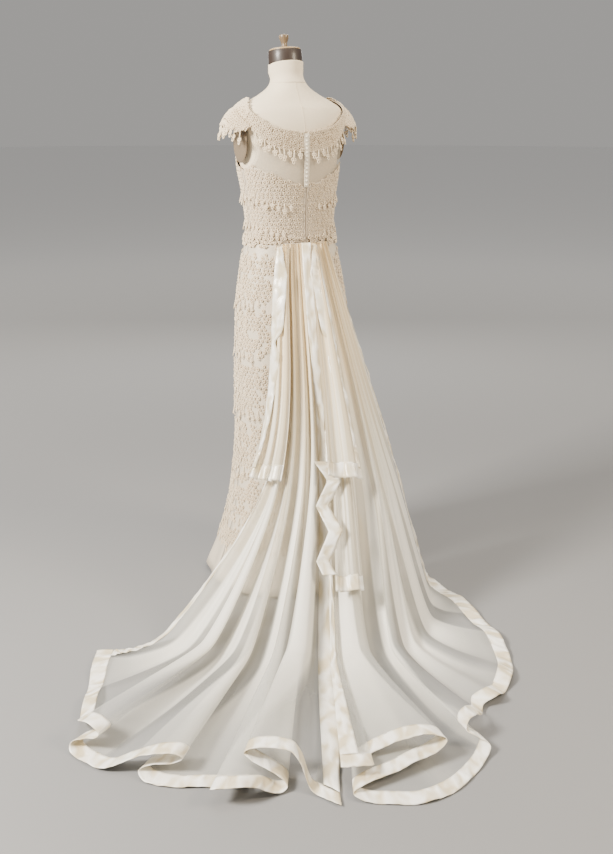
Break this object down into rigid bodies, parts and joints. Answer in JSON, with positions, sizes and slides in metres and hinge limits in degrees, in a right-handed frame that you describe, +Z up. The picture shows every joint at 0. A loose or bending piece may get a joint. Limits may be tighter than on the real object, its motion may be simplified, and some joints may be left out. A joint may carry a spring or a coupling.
{
  "type": "wedding dress on a limbless dress form",
  "caption": "Floor-length lace sheath wedding dress with cap sleeves and a long split train edged in satin, standing on a limbless dress form with a neck block and a round base.",
  "frame": {"origin": "middle of the underside of the stand's round base, on the floor", "axes": "+Z up; -Y is the way the front of the dress faces, so its back and train are towards +Y; +X is the wearer's left. The train is swung 28 degrees from +Y towards +X."},
  "size_m": [1.2739, 1.4659, 1.6103],
  "materials": {
    "ivory_lace": "matt",
    "sheer_net": "matt",
    "ivory_organza": "soft sheen",
    "ivory_satin": "satin",
    "cream_form_cloth": "matt",
    "dark_brown_wood": "satin varnish",
    "pale_rim": "satin",
    "turned_wood": "satin varnish",
    "stand_metal": "satin",
    "taupe_arm_cover": "matt"
  },
  "bodies": {
    "root": {"arm_cover_left": "taupe_arm_cover", "arm_cover_right": "taupe_arm_cover", "bodice_back_left": "ivory_lace", "bodice_back_right": "ivory_lace", "bodice_front": "ivory_lace", "bust_drops_left": "ivory_lace", "bust_drops_right": "ivory_lace", "button_placket": "ivory_satin", "cap_drops_left": "ivory_lace", "cap_drops_right": "ivory_lace", "cap_sleeve_left": "ivory_lace", "cap_sleeve_right": "ivory_lace", "form_torso": "cream_form_cloth", "neck_block": "dark_brown_wood", "neck_drops_back_left": "ivory_lace", "neck_drops_back_right": "ivory_lace", "neck_drops_front": "ivory_lace", "neck_finial": "turned_wood", "neck_rim": "pale_rim", "neckline_band": "ivory_lace", "opening_tier_hem_band": "ivory_satin", "opening_tier_panel": "ivory_organza", "opening_tier_zigzag": "ivory_satin", "overlay_left_edge": "ivory_satin", "overlay_left_hem_band": "ivory_satin", "overlay_left_panel": "ivory_organza", "overlay_right_edge": "ivory_satin", "overlay_right_hem_band": "ivory_satin", "overlay_right_panel": "ivory_organza", "skirt_back": "ivory_lace", "skirt_drops_1_left": "ivory_lace", "skirt_drops_1_right": "ivory_lace", "skirt_drops_2_left": "ivory_lace", "skirt_drops_2_right": "ivory_lace", "skirt_drops_3_left": "ivory_lace", "skirt_drops_3_right": "ivory_lace", "skirt_drops_4_left": "ivory_lace", "skirt_drops_4_right": "ivory_lace", "skirt_drops_5_left": "ivory_lace", "skirt_drops_5_right": "ivory_lace", "skirt_drops_6_left": "ivory_lace", "skirt_drops_6_right": "ivory_lace", "skirt_front": "ivory_lace", "stand_base": "stand_metal", "stand_pole": "stand_metal", "train_left_hem_band": "ivory_satin", "train_left_opening_edge": "ivory_satin", "train_left_outer_edge": "ivory_satin", "train_left_panel": "ivory_organza", "train_right_hem_band": "ivory_satin", "train_right_opening_edge": "ivory_satin", "train_right_outer_edge": "ivory_satin", "train_right_panel": "ivory_organza", "waist_drops_left": "ivory_lace", "waist_drops_right": "ivory_lace", "yoke_back_left": "sheer_net", "yoke_back_right": "sheer_net"}
  },
  "joints": []
}
